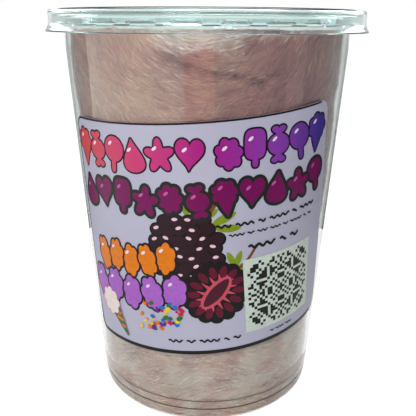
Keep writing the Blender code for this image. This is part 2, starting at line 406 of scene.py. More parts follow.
def tub_section():
    """The tub's section as (radius, height), from under the foot, up, over the rim, down."""
    foot_r = wall_radius(FOOT_FILLET)
    flat_out = foot_r - FOOT_FILLET
    flat_in = flat_out - FOOT_RING
    web_z = RIM_TOP - 0.8
    lip_in = RIM_R - 0.8
    inner = wall_radius(RIM_TOP) - WALL
    under = rounded([(2.0, UNDER_RECESS), (flat_in - UNDER_RECESS, UNDER_RECESS), (flat_in, 0.0),
                     (flat_out, 0.0)], (1.0, 0.4))
    turn = np.radians(np.linspace(-90, 0, 13))[1:]
    foot = np.stack([flat_out + FOOT_FILLET * np.cos(turn),
                     FOOT_FILLET + FOOT_FILLET * np.sin(turn)], axis=-1)
    step_low = wall_radius(STEP_Z) - STEP_IN
    up = rounded([foot[-1], (wall_radius(FOOT_LINE_Z) - FOOT_LINE_IN, FOOT_LINE_Z - 0.25),
                  (wall_radius(FOOT_LINE_Z), FOOT_LINE_Z),
                  (step_low, STEP_Z - 0.35), (wall_radius(STEP_Z), STEP_Z),
                  (wall_radius(web_z - 0.3), web_z - 0.3), (lip_in, web_z),
                  (lip_in, 143.9), (RIM_R, 143.9), (RIM_R, RIM_TOP), (inner, RIM_TOP),
                  (wall_radius(STEP_Z) - WALL, STEP_Z), (step_low - WALL, STEP_Z - 0.35),
                  (flat_out + INSIDE_FILLET, FOOT_FILLET), (flat_out + INSIDE_FILLET, WALL),
                  (flat_in, WALL), (flat_in - UNDER_RECESS - 0.4, FLOOR_Z), (2.0, FLOOR_Z)],
                 (0.1, 0.1, 0.15, 0.15, 0.8, 0.5, 0.3, 0.3, 0.8, 0.8, 0.15, 0.15, 0.1, 2.3, 0.5, 0.8),
                 7)
    return np.concatenate([under, foot, up[1:]])


def make_tub(finish):
    """The clear cup: its section turned round the axis, the wall a closed shell."""
    section = tub_section()
    angles = np.linspace(0, TAU, 240, endpoint=False)
    grid = around(section[:, :1], angles[None], section[:, 1:])
    points, quads, tris = closed_turn(grid)
    thing = piece("clear_tub", points, quads, finish, tris=tris)
    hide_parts("tub")


def make_foot_shade_lines(finish):
    """Painted shade round the foot: dark hoops that stand in for the shade and dark reflection at
    the foot, a thin hoop under its step and one lower down.

    Each hoop is a small rectangle turned round the axis, its last side joined to its first.
    """
    count, sunk, proud = 240, 0.35, 0.03
    angles = np.linspace(0, TAU, count, endpoint=False)
    for name, top in (("step_painted_shade", STEP_Z - 0.3), ("foot_painted_shade", FOOT_LINE_Z - 0.2)):
        low = top - FOOT_SHADE_TALL
        section = np.array([(wall_radius(low) - sunk, low), (wall_radius(low) + proud, low),
                            (wall_radius(top) + proud, top), (wall_radius(top) - sunk, top)])
        grid = around(section[:, :1], angles[None], section[:, 1:])
        thing = piece(name, grid.reshape(-1, 3), grid_quads(5, count, True) % (4 * count), finish)
        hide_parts("tub")


def tube(path, radius):
    """A round bar along a path: rings of eight points, with a tip at both ends.

    Each ring lies across the path, between the way out of the tub and the way across it.
    """
    along = np.gradient(path, axis=0)
    along /= np.linalg.norm(along, axis=1)[:, None]
    out = path * (1, 1, 0)
    out /= np.linalg.norm(out, axis=1)[:, None]
    across = np.cross(along, out)
    a = np.linspace(0, TAU, 8, endpoint=False)[None, :, None]
    ring = np.cos(a) * across[:, None] + np.sin(a) * out[:, None]
    return closed_turn(path[:, None] + radius * ring)


def make_lift_mark(finish):
    """The raised mark that shows where the lid lifts: two small chevrons on the skirt."""
    t = np.linspace(-1, 1, 9)
    for number in (1, 2):
        turn = np.radians(MARK_AZIMUTH) + (1.5 * number - 2.2 - 1.1 * np.abs(t)) / CROWN_R
        path = around(CROWN_R + 0.05, turn, MARK_Z + 0.85 * t)
        points, quads, tris = tube(path, 0.24)
        thing = piece(f"lift_mark_{number}", points, quads, finish, tris=tris)
        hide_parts("lid")


def lug_angles():
    """The lid's columns: close together at each lug's ends, evenly spread between them."""
    flank = np.radians(0.5)
    pitch = TAU / LUG_COUNT
    top = np.linspace(-LUG_HALF, LUG_HALF, 7)
    gap = np.linspace(LUG_HALF + flank, pitch - LUG_HALF - flank, 5)
    one = np.concatenate([top, gap])
    raised = np.concatenate([np.ones(len(top)), np.zeros(len(gap))])
    angles = (LUG_FIRST + pitch * np.arange(LUG_COUNT)[:, None] + one).ravel()
    return angles, np.tile(raised, LUG_COUNT)


def lid_section():
    """The lid's section: (radius, height, share of the lug height), panel, crown, skirt, back."""
    plug_in = PLUG_R - LID_SHEET
    crown_in = plug_in + 0.4
    lug_in = plug_in - LUG_DEPTH
    under = LID_TOP - LID_SHEET
    top = [(2.0, PANEL_Z), (lug_in - 0.8, PANEL_Z), (lug_in - 0.2, PANEL_Z), (lug_in, PANEL_Z)]
    wall = rounded([(plug_in - 0.3, PANEL_Z), (plug_in, PANEL_Z + 0.1), (crown_in, LID_TOP),
                    (CROWN_R, LID_TOP), (CROWN_R, WAIST_Z), (SKIRT_R, SKIRT_Z),
                    (SKIRT_R - LID_SHEET, SKIRT_Z), (CROWN_R - LID_SHEET, WAIST_Z),
                    (CROWN_R - LID_SHEET, under), (crown_in + LID_SHEET, under),
                    (PLUG_R, PANEL_Z), (PLUG_R - 0.5, PANEL_Z - LID_SHEET),
                    (2.0, PANEL_Z - LID_SHEET)],
                   (0.1, 0.9, 1.1, 1.6, 0.25, 0.25, 1.6, 0.6, 0.5, 0.4, 0.2), 7)
    section = np.concatenate([top, wall])
    share = (np.hypot(*(section - (plug_in - LUG_DEPTH / 2, PANEL_Z)).T) < LUG_DEPTH / 2 + 0.25)
    share &= section[:, 1] > PANEL_Z - 0.05
    share[2] = False
    return section, share.astype(float)


def make_lid(finish):
    """The clear lid, with its stacking lugs raised round the panel's edge."""
    section, share = lid_section()
    angles, raised = lug_angles()
    z = section[:, 1:] + LUG_HEIGHT * share[:, None] * raised[None]
    grid = around(section[:, :1], angles[None], z)
    points, quads, tris = closed_turn(grid)
    thing = piece("clear_lid", points, quads[:, ::-1], finish, tris=tris[:, ::-1],
                  sharp=35)
    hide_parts("lid")


# ---------------------------------------------------------------- the spun sugar


class Waves:
    """A smooth random field round the tub: a sum of sine waves in random directions.

    It has the given feature size in mm on the unrolled wall, closes round the tub, and is
    about -1 to 1. Each field has a seed of its own.
    """

    def __init__(self, size, seed, count=20, stretch=1.0):
        draw = np.random.default_rng(seed)
        heading = draw.uniform(0, np.pi, count)
        rate = TAU / (size * draw.uniform(0.75, 1.5, count))
        self.turns = np.round(MID_R * rate * np.cos(heading) / stretch)
        self.climb = rate * np.sin(heading)
        self.phase = draw.uniform(0, TAU, count)
        self.gain = 1.4 / np.sqrt(count)

    def __call__(self, angle, z):
        total = np.zeros(np.broadcast(angle, z).shape)
        for turns, climb, phase in zip(self.turns, self.climb, self.phase):
            total += np.sin(turns * angle + climb * z + phase)
        return self.gain * total


def eased(x, low, high):
    """0 below low and 1 above high, with a smooth start and end."""
    t = np.clip((x - low) / (high - low), 0, 1)
    return t * t * (3 - 2 * t)


def near(angle, z, azimuth, height, wide, tall):
    """A soft spot on the side: 1 at its middle, fading over wide and tall millimetres."""
    turn = (angle - np.radians(azimuth) + np.pi) % TAU - np.pi
    return np.exp(-((turn * MID_R / wide) ** 2) - ((z - height) / tall) ** 2)


def along_crease(angle, z, first, last, half_width):
    """Closeness to a crease between two (azimuth, height) ends: 1 on it, fading sideways."""
    middle = np.radians((first[0] + last[0]) / 2)
    x = ((angle - middle + np.pi) % TAU - np.pi + middle) * MID_R
    ax, bx = np.radians(first[0]) * MID_R, np.radians(last[0]) * MID_R
    dx, dz = bx - ax, last[1] - first[1]
    t = np.clip(((x - ax) * dx + (z - first[1]) * dz) / (dx * dx + dz * dz), 0, 1)
    away = np.hypot(x - ax - t * dx, z - first[1] - t * dz)
    return np.exp(-((away / half_width) ** 2))


# Creases: ends as (azimuth in degrees, height), depth and half width in mm.
CREASES = (
    ((-15, 133.8), (-7, 131.6), 1.2, 1.7),
    ((-7, 131.6), (3, 129.8), 1.5, 0.9),
    ((3, 129.8), (11, 129.0), 1.6, 0.8),
    ((11, 129.0), (21, 127.0), 1.4, 0.9),
    ((21, 127.0), (29, 130.7), 0.8, 1.6),
    ((21, 127.0), (30, 121.0), 0.5, 1.6),
    ((-52, 100), (-34, 118), 0.4, 2.0),
    ((70, 118), (112, 104), 1.5, 1.6),
    ((96, 60), (140, 82), 1.3, 1.8),
    ((150, 126), (196, 108), 1.6, 1.6),
    ((176, 70), (226, 48), 1.4, 1.8),
    ((220, 122), (262, 112), 1.5, 1.5),
    ((250, 40), (290, 72), 1.3, 1.8),
    ((60, 26), (98, 36), 1.0, 1.8),
)

FOLDS = Waves(26, 11, stretch=1.6)
TUFTS = Waves(9, 12)
LUMPS = Waves(4.5, 13)
BEND = Waves(34, 14)
COMB = Waves(15, 15)
ROSY = Waves(20, 16)
SANDY = Waves(26, 17)
DUSKY = Waves(13, 18)
PINK = Waves(6.5, 19, stretch=2.2)

PRESSED = 0.15
CORE_UNDER = 0.7
HOLLOW_AZIMUTH = np.radians(-7)
HOLLOW_OUT = 47.0


def creased(angle, z):
    """Sum of the creases' closeness, weighted by depth in mm."""
    return sum(deep * along_crease(angle, z, first, last, half)
               for first, last, deep, half in CREASES)


def front_dip(angle):
    """How far the sugar's top edge sinks at the front, in mm: a broad sag and a notch."""
    turn = (angle - HOLLOW_AZIMUTH + np.pi) % TAU - np.pi
    broad = 1.8 * np.exp(-((turn - np.radians(14)) / np.radians(25)) ** 2)
    return broad + 4.1 * np.exp(-(np.abs(turn) / np.radians(9)) ** 1.7)


def top_edge(angle):
    """Height of the sugar's top edge round the tub."""
    return CANDY_HIGH - front_dip(angle) - 0.35 * (1 + TUFTS(angle, 150.0 + 0 * angle))


def side_radius(angle, z):
    """Radius of the sugar's side: the tub's inside, less folds, lumps and creases.

    At the foot the sugar fills the tub and is pressed just into its wall, and higher up it
    stands off the wall by a gap that grows with height.
    """
    climb = np.clip((FOOT_FILLET - z) / INSIDE_FILLET, 0, 1)
    inside = wall_radius(z) - WALL - INSIDE_FILLET * (1 - np.sqrt(1 - climb ** 2))
    free = eased(z, 11, 26)
    gap = 0.2 + 0.5 * z / RIM_TOP
    relief = 0.26 * (1 + FOLDS(angle, z)) + 0.14 * (1 + TUFTS(angle, z)) + 0.05 * LUMPS(angle, z)
    return inside + PRESSED * (1 - free) - free * (gap + np.maximum(relief, 0) + creased(angle, z))


def top_surface(radius, angle):
    """Height of the sugar's top under the lid, with soft hollows and a coiled swell."""
    x, y = radius * np.sin(angle), -radius * np.cos(angle)
    coil = np.sin(0.32 * radius + 2 * angle) * np.clip(radius / 20, 0, 1)
    z = CANDY_HIGH - 0.3 - 0.7 * (1 + coil)
    for azimuth, out, size, deep in ((np.degrees(HOLLOW_AZIMUTH), HOLLOW_OUT, 9, 4.2),
                                     (120, 28, 13, 2.4), (215, 36, 13, 2.8), (300, 22, 12, 2.0)):
        a = np.radians(azimuth)
        away = np.hypot(x - out * np.sin(a), y + out * np.cos(a))
        z = z - deep * np.exp(-((away / size) ** 2))
    return z


def flow(angle, z):
    """Direction of the fibres on the unrolled wall, in radians above the level.

    High on the front they fall from the left and rise to the right, low down they lie
    nearly level, and everywhere broad tufts lean off the main flow.
    """
    high = eased(z, 26, 96)
    sweep = (0.25 + 0.75 * high) * np.sin(2 * angle + 0.12) * high
    return 1.02 * sweep + (0.30 - 0.12 * high) * BEND(angle, z) + (0.16 - 0.09 * high) * COMB(angle, z)


# Each tone's fibres and, under them, its core: linear colours, dark to light.
TONES = {
    "plum": (linear(126, 84, 92), linear(110, 72, 78)),
    "mauve": (linear(174, 124, 128), linear(156, 110, 114)),
    "rose": (linear(200, 142, 132), linear(180, 124, 116)),
    "beige": (linear(212, 176, 152), linear(192, 157, 136)),
    "cream": (linear(218, 202, 188), linear(198, 182, 168)),
    "white": (linear(252, 248, 244), linear(244, 236, 228)),
}


def tone_shares(angle, z, hollow=0.0):
    """How much of each tone there is at a place, as rows that add up to 1.

    Beside the sugar's own tones, some shares are painted light and shade: more beige and cream
    on the upper left as painted light, and more plum and mauve on the upper right, on the sides
    and in the creases as painted shade.
    """
    foot = 1 - eased(z, 26, 52)
    # Painted light: the upper left takes more beige and cream, lighter where the key light falls.
    left = near(angle, z, -34, 116, 22, 24)
    # Painted shade: the upper right takes more plum and mauve and less beige, darker as the light falls
    # off to the right.
    right = near(angle, z, 34, 122, 24, 26)
    # Painted light: the dip at the front and the hollow behind it take cream and white, as if lit brightly
    # from above.
    dip_light = near(angle, z, -4, 141, 9, 3.0) + 0.5 * near(angle, z, 14, 143, 20, 2.2) + hollow
    # Painted shade: the sides near 70 degrees left and right of the front take more plum, darker away from
    # the light.
    flank = near(angle, z, -70, 92, 13, 60) + near(angle, z, 70, 92, 15, 60)
    # Painted shade in the creases: the folds are real geometry, and their extra plum is painted shade.
    crease = np.clip(creased(angle, z), 0, 1.5)
    dark_spot = near(angle, z, -11, 133, 7, 4.5)
    pink = np.clip(PINK(angle, z) + 0.3 * ROSY(angle, z), 0, None)
    shares = np.stack([
        0.05 + 0.07 * DUSKY(angle, z) + 0.9 * crease + 0.45 * dark_spot + 0.22 * right
        + (2.0 * flank - 0.05) * (1 - foot),
        0.50 + 0.22 * DUSKY(angle, z) + 0.9 * right + 0.5 * dark_spot - 0.44 * foot,
        0.36 + 0.25 * ROSY(angle, z) + foot * (0.45 * pink - 0.30),
        0.22 + 0.22 * SANDY(angle, z) + 1.5 * left - 0.16 * right - 0.10 * foot,
        0.02 + 0.04 * SANDY(angle, z) + 0.3 * left + 1.0 * foot + 0.8 * dip_light,
        6.0 * dip_light ** 1.2 + 0.06 * foot,
    ])
    shares = np.clip(shares, 0.002, None)
    return shares / shares.sum(axis=0)


def top_height(radius, angle):
    """Height of the sugar's top, which rolls down to its top edge near the wall."""
    rim = side_radius(angle, top_edge(angle))
    rise = eased(1 - radius / rim, 0.0, 0.09)
    return top_edge(angle) * (1 - rise) + top_surface(radius, angle) * rise


def make_core(finish):
    """The pressed core: up the side from the tub's floor, closed across its top and foot.

    Its rings start on the floor inside the tub's recess, drop to the foot's ring, follow the
    foot's curve and the wall up to the top edge, and end across the top.
    """
    angles = np.linspace(0, TAU, 384, endpoint=False)[None]
    low = WALL - 0.1
    foot_z = low + (FOOT_FILLET - low) * (1 - np.cos(np.linspace(0, np.pi / 2, 9)[:, None]))
    t = np.linspace(0, 1, 172)[1:, None]
    z = np.concatenate([foot_z + 0 * angles,
                        FOOT_FILLET + (top_edge(angles) - CORE_UNDER - FOOT_FILLET) * t])
    radius = side_radius(angles, z) - 0.3 * eased(z, 11, 26)
    tones = np.array([pair[1] for pair in TONES.values()])
    shrink = np.array([0.985, 0.96, 0.92, 0.87, 0.8, 0.7, 0.55, 0.35, 0.12, 0.03])[:, None]
    over_r = radius[-1:] * shrink
    over_z = top_height(over_r, angles) - CORE_UNDER
    under_r = radius[:1] * shrink[::-1]
    under_z = low + (FLOOR_Z - WALL) * (1 - eased(under_r, FOOT_IN - 2.0, FOOT_IN))
    grid = np.concatenate([around(under_r, angles, under_z), around(radius, angles, z),
                           around(over_r, angles, over_z)])
    side = np.tensordot(tone_shares(angles, z), tones, axes=(0, 0))
    top = np.tensordot(tone_shares(angles + 0 * over_r, over_z, hollow_light_share(over_r, angles)), tones,
                       axes=(0, 0))
    shades = np.concatenate([np.repeat(side[:1], len(shrink), axis=0), side, top])
    points, quads, tris = closed_turn(grid)
    tint = np.concatenate([shades.reshape(-1, 3), shades[0, :1], shades[-1, :1]])
    thing = piece("sugar_core", points, quads, finish, tris=tris, tint=tint)
    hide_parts("cotton_candy")


def hollow_light_share(radius, angle):
    """Closeness of a place on the top to the hollow at the front, which the tone shares paint pale as
    painted light from above.
    """
    turn = angle - HOLLOW_AZIMUTH
    away = np.hypot(radius * np.sin(turn), radius * np.cos(turn) - HOLLOW_OUT)
    return np.exp(-((away / 15.0) ** 2))


def ribbons(centre, sideways):
    """Quads of many ribbons at once, from centre lines and half-width vectors (n, steps, 3)."""
    n, steps, _ = centre.shape
    points = np.stack([centre - sideways, centre + sideways], axis=2).reshape(-1, 3)
    one = grid_quads(steps, 2, False)
    quads = (one[None] + (np.arange(n) * steps * 2)[:, None, None]).reshape(-1, 4)
    return points, quads


def in_locks(draw, values, spread):
    """One value for each fibre: its lock's own, with a normal spread inside the lock."""
    return np.repeat(values, LOCK_SIZE) + np.repeat(spread, LOCK_SIZE) * draw.normal(
        0, 1, len(values) * LOCK_SIZE)


def half_widths(draw, count, s):
    """Half width of each fibre along its length: widest in the middle, fine at both ends."""
    thick = FIBRE_HALF * (0.7 + 0.9 * draw.random(count) ** 2)
    return thick[:, None] * (1 - 0.8 * np.abs(s) ** 3)


def side_fibres(draw, locks):
    """Fibres on the side, in locks that lie together along the flow.

    A lock has a middle, a length, a lean and a depth. Its fibres start spread round that
    middle and follow the flow both ways, and their ends are tucked in. Returns centre
    lines, half-width vectors and each fibre's share of every tone.
    """
    angle = draw.uniform(0, TAU, locks)
    z = WALL + 0.3 + (CANDY_HIGH - WALL - 0.3) * draw.random(locks)
    z = np.minimum(z, top_edge(angle) - 0.2)
    shares = tone_shares(angle, z)
    ones = np.ones(locks)
    stray = draw.random(locks) < 0.15
    lean = draw.normal(0, np.where(stray, 0.45, 0.2))
    heading = flow(angle, z) + lean
    across = in_locks(draw, 0 * ones, 0.08 + 0.4 * draw.random(locks) ** 2)
    along = in_locks(draw, 0 * ones, 1.3 * ones)
    turn = np.repeat(heading, LOCK_SIZE)
    a0 = np.repeat(angle, LOCK_SIZE) + (along * np.cos(turn) - across * np.sin(turn)) / MID_R
    z0 = np.repeat(z, LOCK_SIZE) + along * np.sin(turn) + across * np.cos(turn)
    lean = in_locks(draw, lean, 0.05 * ones)
    curl = in_locks(draw, draw.normal(0, 0.012, locks), 0.008 * ones)
    length = np.repeat(2.2 + 3.4 * draw.random(locks) ** 1.4, LOCK_SIZE)
    s = np.linspace(-1, 1, FIBRE_STEPS)
    middle = FIBRE_STEPS // 2
    path_a, path_z, path_h = (np.zeros((len(a0), FIBRE_STEPS)) for _ in range(3))
    for steps in (range(middle, FIBRE_STEPS), range(middle, -1, -1)):
        a, z = a0, z0
        for k in steps:
            toward = flow(a, z) + lean + curl * s[k] * length
            move = 0.0 if k == middle else np.sign(s[k]) / (FIBRE_STEPS - 1)
            a = a + np.cos(toward) * move * length / wall_radius(z)
            z = np.clip(z + np.sin(toward) * move * length, WALL, top_edge(a))
            path_a[:, k], path_z[:, k], path_h[:, k] = a, z, toward
    depth = np.abs(in_locks(draw, 0.34 * draw.random(locks), 0.06 * ones))[:, None] + 0.3 * s ** 4
    depth = depth * (0.2 + 0.8 * eased(path_z, 11, 26))
    centre = around(side_radius(path_a, path_z) - depth + 0.10, path_a, path_z)
    half = half_widths(draw, len(a0), s)
    tilt = draw.normal(0, 0.22, len(a0))[:, None, None]
    round_way = around(np.ones_like(path_a), path_a + np.pi / 2, 0)
    out_way = around(np.ones_like(path_a), path_a, 0)
    level = np.cos(path_h)[..., None] * np.array([0.0, 0.0, 1.0]) - np.sin(path_h)[..., None] * round_way
    sideways = half[..., None] * (np.cos(tilt) * level + np.sin(tilt) * out_way)
    return centre, sideways, shares


def top_fibres(draw, locks):
    """Fibres across the top, coiled round the middle as the sugar was wound."""
    radius = 49.0 * np.sqrt(draw.random(locks))
    angle = draw.uniform(0, TAU, locks)
    shares = tone_shares(angle, np.full(locks, 124.0), hollow_light_share(radius, angle))
    ones = np.ones(locks)
    length = np.repeat(3.5 + 5.0 * draw.random(locks), LOCK_SIZE)[:, None]
    lean = in_locks(draw, draw.normal(0.25, 0.3, locks), 0.06 * ones)[:, None]
    radius = np.maximum(in_locks(draw, radius, 0.5 * ones), 1.0)[:, None]
    angle = np.repeat(angle, LOCK_SIZE)[:, None]
    s = np.linspace(-1, 1, FIBRE_STEPS)[None]
    path_r = np.clip(radius + np.sin(lean) * s * length / 2, 0.5, 49.4)
    path_a = angle + np.cos(lean) * s * length / 2 / np.maximum(radius, 6)
    surface = top_height(path_r, path_a)
    depth = np.abs(in_locks(draw, 0.45 * draw.random(locks), 0.08 * ones))[:, None] + 0.3 * s ** 4
    half = 1.3 * half_widths(draw, len(angle), s)
    sideways = around(half, path_a, 0.25 * half * draw.normal(0, 1, (len(angle), 1)))
    return around(path_r, path_a, surface - depth + 0.1), sideways, shares


def make_fibres(finishes):
    """All fibres, dealt out to a few pieces for each tone by the shares at their locks.

    Some of a lock's fibres take the lock's own tone, and the others are dealt out singly.
    """
    draw = np.random.default_rng(5)
    parts = [side_fibres(draw, SIDE_LOCKS), top_fibres(draw, TOP_LOCKS)]
    centre, sideways = (np.concatenate([p[i] for p in parts]) for i in range(2))
    bounds = np.cumsum(np.concatenate([p[2] for p in parts], axis=1), axis=0)
    bounds = np.repeat(bounds, LOCK_SIZE, axis=1)
    count = bounds.shape[1]
    shared = draw.random(count) < LOCK_TONE
    by_lock = np.repeat(draw.random(count // LOCK_SIZE), LOCK_SIZE)
    deal = np.where(shared, by_lock, draw.random(count))
    pick = np.minimum((deal[None] > bounds).sum(axis=0), len(TONES) - 1)
    for index, (tone, finish) in enumerate(finishes.items()):
        chosen = np.flatnonzero(pick == index)
        groups = np.array_split(chosen, int(np.ceil(len(chosen) / MOST_FIBRES)))
        for number, group in enumerate(groups):
            points, quads = ribbons(centre[group], sideways[group])
            thing = piece(f"fibres_{tone}_{number + 1}", points, quads, finish)
            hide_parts("cotton_candy")


# ---------------------------------------------------------------- the label


def on_label(u, v, out):
    """Wrap places of the label's plane, measured from its middle, onto the cone.

    The cone unrolls to a flat fan: a distance from the fan's centre is a radius divided by
    the sine of the draft, and an angle in it is the angle round the tub times that sine.
    """
    sine = np.sin(np.arctan(SLOPE))
    x = np.cos(LABEL_TURN) * u - np.sin(LABEL_TURN) * v
    y = np.sin(LABEL_TURN) * u + np.cos(LABEL_TURN) * v
    fan = wall_radius(LABEL_MID_Z) / sine
    radius = np.hypot(x, fan + y) * sine
    angle = LABEL_MID_ANGLE + np.arctan2(x, fan + y) / sine
    return around(radius + out, angle, STEP_Z + (radius - STEP_R) / SLOPE)


def label_place(u, v):
    """The label's own map: 0 to 1 across and up."""
    return np.stack([u / LABEL_W + 0.5, v / LABEL_H + 0.5], axis=-1)


def label_grid(columns, rows, width, height, corner):
    """Places of a rounded rectangle: rows that draw in along quarter circles at the ends."""
    turn = np.radians(np.linspace(90, 0, 9))
    straight = height / 2 - corner
    v = np.concatenate([straight + corner * np.sin(turn), np.linspace(straight, -straight, rows)[1:-1],
                        -straight - corner * np.sin(turn[::-1])])
    inset = np.concatenate([corner * (1 - np.cos(turn)), np.zeros(rows - 2),
                            corner * (1 - np.cos(turn[::-1]))])
    u = (width / 2 - inset)[:, None] * np.linspace(-1, 1, columns)[None]
    return u, np.broadcast_to(v[:, None], u.shape)


def make_label(finish):
    """The label's paper: a curved slab with rounded corners, closed at its rim."""
    u, v = label_grid(90, 60, LABEL_W, LABEL_H, LABEL_CORNER)
    rows, columns = u.shape
    inner = on_label(u, v, LABEL_OUT).reshape(-1, 3)
    outer = on_label(u, v, LABEL_OUT + LABEL_SHEET).reshape(-1, 3)
    quads = grid_quads(rows, columns, False)
    index = np.arange(rows * columns).reshape(rows, columns)
    rim = np.concatenate([index[0], index[1:, -1], index[-1, -2::-1], index[-2:0:-1, 0]])
    after = np.roll(rim, -1)
    shift = rows * columns
    edge = np.stack([rim, after, after + shift, rim + shift], axis=-1)
    faces = np.concatenate([quads, quads[:, ::-1] + shift, edge])
    place = label_place(u, v).reshape(-1, 2)
    thing = piece("label_paper", np.concatenate([inner, outer]), faces, finish,
                  uv=np.concatenate([place, place]), sharp=40)
    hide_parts("label")


class Sheet:
    """Flat printed shapes of one ink, gathered and then wrapped onto the label.

    A shape's level says how many coats of ink lie under it, so what is printed later hides
    what is printed first.
    """

    def __init__(self):
        self.places, self.levels, self.quads, self.tris, self.count = [], [], [], [], 0

    def add(self, places, level, quads, tris=()):
        """Add places (n, 2) at a level with their faces."""
        self.places.append(places)
        self.levels.append(np.full(len(places), float(level)))
        self.quads.append(np.asarray(quads, int).reshape(-1, 4) + self.count)
        self.tris.append(np.asarray(tris, int).reshape(-1, 3) + self.count)
        self.count += len(places)

    def blob(self, at, outline, level, rings=4):
        """A filled outline, as rings that shrink to its middle."""
        outline = np.asarray(outline)
        n = len(outline)
        share = np.arange(rings, 0, -1)[:, None, None] / rings
        places = np.concatenate([(share * outline[None]).reshape(-1, 2), np.zeros((1, 2))])
        c = np.arange(n)
        tip = np.full(n, rings * n)
        tris = np.stack([(rings - 1) * n + c, (rings - 1) * n + (c + 1) % n, tip], axis=-1)
        self.add(places + np.asarray(at), level, grid_quads(rings, n, True), tris)

    def band(self, path, half, level, inset=0.0):
        """A ribbon along a path, with a half width and a shift to its left that may change."""
        path = np.asarray(path, float)
        along = np.gradient(path, axis=0)
        along /= np.linalg.norm(along, axis=1)[:, None]
        left = np.stack([-along[:, 1], along[:, 0]], axis=-1)
        half, inset = (np.broadcast_to(v, len(path))[:, None, None] for v in (half, inset))
        across = np.linspace(1, -1, 3)[None, :, None]
        self.add((path[:, None] + left[:, None] * (inset + half * across)).reshape(-1, 2), level,
                 grid_quads(len(path), 3, False))

    def make(self, name, finish):
        """Wrap everything gathered onto the label as one piece."""
        places, levels = np.concatenate(self.places), np.concatenate(self.levels)
        points = on_label(places[:, 0], places[:, 1], LABEL_OUT + LABEL_SHEET + INK * levels)
        piece(name, points, np.concatenate(self.quads)[:, ::-1], finish,
              tris=np.concatenate(self.tris)[:, ::-1], uv=label_place(*places.T))


def ring_angles(count):
    """Angles round an outline, clockwise."""
    return -np.linspace(0, TAU, count, endpoint=False)


def turned(outline, degrees):
    """An outline turned about its middle."""
    a = np.radians(degrees)
    return outline @ np.array([[np.cos(a), np.sin(a)], [-np.sin(a), np.cos(a)]])


def grown(outline, by):
    """An outline moved outwards by a distance, along its own normals."""
    along = np.roll(outline, -1, axis=0) - np.roll(outline, 1, axis=0)
    along /= np.maximum(np.linalg.norm(along, axis=1)[:, None], 1e-9)
    return outline + by * np.stack([-along[:, 1], along[:, 0]], axis=-1)


def fitted(outline, wide, tall):
    """An outline moved and stretched to fill a box of the given half sizes."""
    low, high = outline.min(axis=0), outline.max(axis=0)
    return (outline - (low + high) / 2) * (2 * np.array([wide, tall]) / (high - low))


def oval(wide, tall, power=2.0, count=40):
    """A superellipse: |x/wide| to a power plus |y/tall| to that power makes 1."""
    a = ring_angles(count)
    x, y = np.cos(a), np.sin(a)
    scale = (np.abs(x) ** power + np.abs(y) ** power) ** (-1 / power)
    return np.stack([wide * x * scale, tall * y * scale], axis=-1)


def puff(radius, lobes, depth=0.13, tall=1.0, turn=0.0):
    """A cloud: a circle whose radius swells in rounded lobes."""
    a = ring_angles(72)
    r = radius * (1 - depth + depth * 2 * np.abs(np.cos(lobes * (a - turn) / 2)) ** 0.8)
    return np.stack([r * np.cos(a), tall * r * np.sin(a)], axis=-1)


def heart(size):
    """A plump heart from the classic sine and cosine curve."""
    a = np.linspace(0, TAU, 60, endpoint=False)
    x = 16 * np.sin(a) ** 3
    y = 13 * np.cos(a) - 5 * np.cos(2 * a) - 2 * np.cos(3 * a) - np.cos(4 * a) + 2
    return size * np.stack([x, y], axis=-1) / 16


def star(size, points=5):
    """A soft star: a circle whose radius swells at each point."""
    a = ring_angles(60)
    r = size * (0.76 + 0.24 * np.cos(points * (a - np.pi / 2)))
    return np.stack([r * np.cos(a), r * np.sin(a)], axis=-1)


def cone(wide, tall):
    """A cornet, point down: its sides draw in from a round top to a round tip."""
    a = ring_angles(48)
    y = np.sin(a)
    return np.stack([wide * np.cos(a) * (0.55 + 0.45 * y), tall * y], axis=-1)


def leaf(length, wide):
    """A leaf: two arcs that meet in points, centred on its middle."""
    t = np.linspace(0, np.pi, 16)
    upper = np.stack([-length / 2 * np.cos(t), wide / 2 * np.sin(t) ** 1.3], axis=-1)
    return np.concatenate([upper, -upper[1:-1]])


# The heading's sweets: each is a list of parts, as a middle and an outline, in mm.
SWEETS = {
    "lollipop": [((0, -3.9), oval(0.95, 2.4, 3)), ((0, 1.7), oval(4.1, 4.3))],
    "ice_bar": [((0, -4.5), oval(1.0, 1.8, 3)), ((0, 1.3), oval(3.5, 4.9, 3.6))],
    "cornet": [((0, -2.6), cone(3.6, 3.8)), ((0, 2.3), puff(4.1, 7, 0.12))],
    "wrapped": [((0, 4.3), fitted(heart(1), 2.6, 1.7)),
                ((0, -4.3), turned(fitted(heart(1), 2.6, 1.7), 180)), ((0, 0), oval(3.9, 3.5))],
    "heart": [((0, 0), fitted(heart(1), 4.5, 5.2))],
    "star": [((0, 0), fitted(star(1), 4.9, 5.4))],
    "gumdrop": [((0, 0), fitted(cone(1, 1), 4.0, 5.6)[::-1] * (1, -1))],
    "cloud": [((0, 0), fitted(puff(1, 7), 4.3, 5.2))],
}


def print_sweet(sheets, kind, at, lean, level, rim, size=1.0):
    """Print one sweet: the rims of all its parts, then their fills, then a touch of shine."""
    outline, fill, shine = sheets
    for number, (middle, shape) in enumerate(SWEETS[kind]):
        place = np.asarray(at) + turned(size * np.array([middle], float), lean)[0]
        shape = turned(size * np.asarray(shape), lean)
        outline.blob(place, grown(shape, rim), level + 0.1 * number)
        fill.blob(place, shape, level + 0.5 + 0.1 * number)
    touch = turned(oval(1.0, 0.5, count=20), 38)
    shine.blob(place + size * np.array([-1.4, 1.9]), touch, level + 0.9, 2)


def make_sheets(ink_of, *prints):
    """Make a piece of each sheet, from (sheet, name, the ink's name)."""
    for sheet, name, tone in prints:
        sheet.make(name, ink_of[tone])


def print_label(ink_of):
    """All of the print: frame line, two rows of sweets, berries, puffs, panel and marks."""
    frame_line(ink_of)
    heading_rows(ink_of)
    whole_berry(ink_of)
    cut_berry(ink_of)
    puff_rows(ink_of)
    floss_on_cone(ink_of)
    block_panel(ink_of)
    scribbles(ink_of)
    sprinkles(ink_of)


